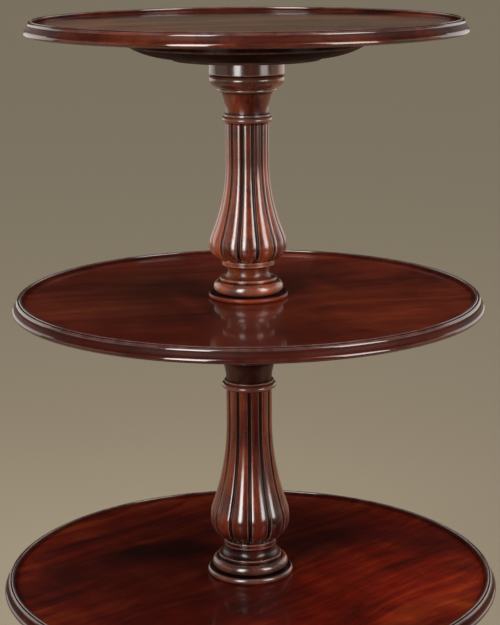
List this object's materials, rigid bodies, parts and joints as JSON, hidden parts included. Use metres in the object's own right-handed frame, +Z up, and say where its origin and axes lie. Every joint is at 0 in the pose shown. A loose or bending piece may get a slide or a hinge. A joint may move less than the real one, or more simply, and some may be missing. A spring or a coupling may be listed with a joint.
{
  "type": "tiered side table",
  "caption": "Free-standing dumb waiter: round tray tiers with moulded rims on turned, lobed columns, on a tripod of cabriole legs with swivelling brass castors.",
  "frame": {"origin": "on the floor, under the common axis of the columns", "axes": "+Z up along the columns, -Y to the front with leg_1, +X to the right"},
  "size_m": [0.6564, 0.6564, 1.1655],
  "materials": {
    "board_mahogany": "french polish",
    "turned_mahogany": "french polish",
    "castor_brass": "aged",
    "black_iron": "matt",
    "screw_steel": "dulled"
  },
  "bodies": {
    "stand": {"top_tier": "board_mahogany", "middle_tier": "board_mahogany", "lower_tier": "board_mahogany", "top_tier_block": "turned_mahogany", "middle_tier_block": "turned_mahogany", "lower_tier_block": "turned_mahogany", "upper_column": "turned_mahogany", "upper_foot_ring": "turned_mahogany", "lower_column": "turned_mahogany", "lower_foot_ring": "turned_mahogany", "base_column": "turned_mahogany", "leg_1": "turned_mahogany", "leg_2": "turned_mahogany", "leg_3": "turned_mahogany", "top_block_screws": "screw_steel", "middle_block_screws": "screw_steel", "lower_block_screws": "screw_steel", "base_plate_screws": "screw_steel", "base_plate": "black_iron", "castor_1_plate": "castor_brass", "castor_1_pintle": "castor_brass", "castor_1_screws": "castor_brass", "castor_2_plate": "castor_brass", "castor_2_pintle": "castor_brass", "castor_2_screws": "castor_brass", "castor_3_plate": "castor_brass", "castor_3_pintle": "castor_brass", "castor_3_screws": "castor_brass"},
    "castor_1_swivel": {"castor_1_horn": "castor_brass", "castor_1_axle": "castor_brass"},
    "castor_1_roller": {"castor_1_wheel": "castor_brass"},
    "castor_2_swivel": {"castor_2_horn": "castor_brass", "castor_2_axle": "castor_brass"},
    "castor_2_roller": {"castor_2_wheel": "castor_brass"},
    "castor_3_swivel": {"castor_3_horn": "castor_brass", "castor_3_axle": "castor_brass"},
    "castor_3_roller": {"castor_3_wheel": "castor_brass"}
  },
  "joints": [
    {"name": "castor_1_turn", "type": "hinge", "parent": "stand", "child": "castor_1_swivel", "pos_m": [0, -0.28, 0.0467], "axis": [0, 0, 1], "continuous": true},
    {"name": "castor_1_roll", "type": "hinge", "parent": "castor_1_swivel", "child": "castor_1_roller", "pos_m": [0, -0.294, 0.017], "axis": [1, 0, 0], "continuous": true},
    {"name": "castor_2_turn", "type": "hinge", "parent": "stand", "child": "castor_2_swivel", "pos_m": [0.24249, 0.14, 0.0467], "axis": [0, 0, 1], "continuous": true},
    {"name": "castor_2_roll", "type": "hinge", "parent": "castor_2_swivel", "child": "castor_2_roller", "pos_m": [0.25461, 0.147, 0.017], "axis": [-0.5, 0.866, 0], "continuous": true},
    {"name": "castor_3_turn", "type": "hinge", "parent": "stand", "child": "castor_3_swivel", "pos_m": [-0.24249, 0.14, 0.0467], "axis": [0, 0, 1], "continuous": true},
    {"name": "castor_3_roll", "type": "hinge", "parent": "castor_3_swivel", "child": "castor_3_roller", "pos_m": [-0.25461, 0.147, 0.017], "axis": [-0.5, -0.866, 0], "continuous": true}
  ]
}
